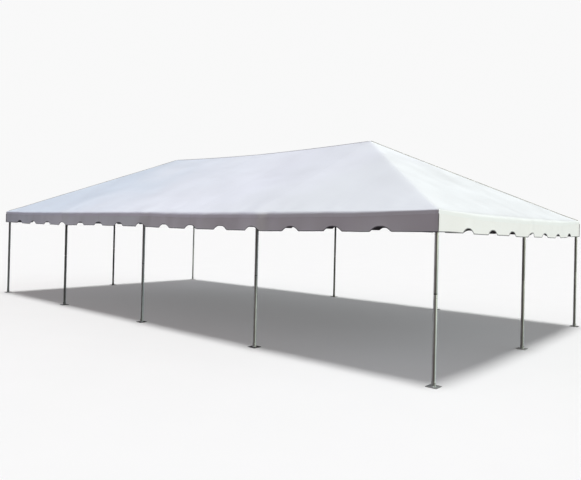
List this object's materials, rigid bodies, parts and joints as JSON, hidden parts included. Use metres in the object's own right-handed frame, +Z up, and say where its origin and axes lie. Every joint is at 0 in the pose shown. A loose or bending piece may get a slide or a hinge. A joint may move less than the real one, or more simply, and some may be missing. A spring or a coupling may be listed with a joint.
{
  "type": "marquee tent",
  "caption": "Free-standing frame marquee with a white hip-roofed canopy and scalloped valance over a frame of tubes and socket fittings, on legs with square base plates",
  "frame": {"origin": "On the ground under the middle of the ridge, at the centre of the tent's plan", "axes": "+X runs along the tent to its right end, +Y from its front to its back, +Z up"},
  "size_m": [12.3444, 6.2484, 3.6099],
  "materials": {
    "canopy_vinyl": "white PVC-coated fabric, satin, welded seams",
    "tube": "bare aluminium tube, weathered; the base plates under the legs are zinc-plated steel",
    "fitting": "zinc-plated welded steel"
  },
  "bodies": {
    "root": {"canopy_back": "canopy_vinyl", "canopy_front": "canopy_vinyl", "canopy_left": "canopy_vinyl", "canopy_right": "canopy_vinyl", "corner_fitting_back_left": "fitting", "corner_fitting_back_right": "fitting", "corner_fitting_front_left": "fitting", "corner_fitting_front_right": "fitting", "crown_fitting_left": "fitting", "crown_fitting_middle": "fitting", "crown_fitting_right": "fitting", "eave_rail_back_1": "tube", "eave_rail_back_2": "tube", "eave_rail_back_3": "tube", "eave_rail_back_4": "tube", "eave_rail_front_1": "tube", "eave_rail_front_2": "tube", "eave_rail_front_3": "tube", "eave_rail_front_4": "tube", "eave_rail_left_back": "tube", "eave_rail_left_front": "tube", "eave_rail_right_back": "tube", "eave_rail_right_front": "tube", "end_fitting_left": "fitting", "end_fitting_right": "fitting", "end_rafter_left": "tube", "end_rafter_right": "tube", "hip_rafter_back_left": "tube", "hip_rafter_back_right": "tube", "hip_rafter_front_left": "tube", "hip_rafter_front_right": "tube", "leg_back_1": "tube", "leg_back_2": "tube", "leg_back_3": "tube", "leg_back_4": "tube", "leg_back_5": "tube", "leg_front_1": "tube", "leg_front_2": "tube", "leg_front_3": "tube", "leg_front_4": "tube", "leg_front_5": "tube", "leg_left": "tube", "leg_right": "tube", "rafter_back_2": "tube", "rafter_back_3": "tube", "rafter_back_4": "tube", "rafter_front_2": "tube", "rafter_front_3": "tube", "rafter_front_4": "tube", "ridge_tube_left": "tube", "ridge_tube_right": "tube", "side_fitting_back_2": "fitting", "side_fitting_back_3": "fitting", "side_fitting_back_4": "fitting", "side_fitting_front_2": "fitting", "side_fitting_front_3": "fitting", "side_fitting_front_4": "fitting"}
  },
  "joints": []
}
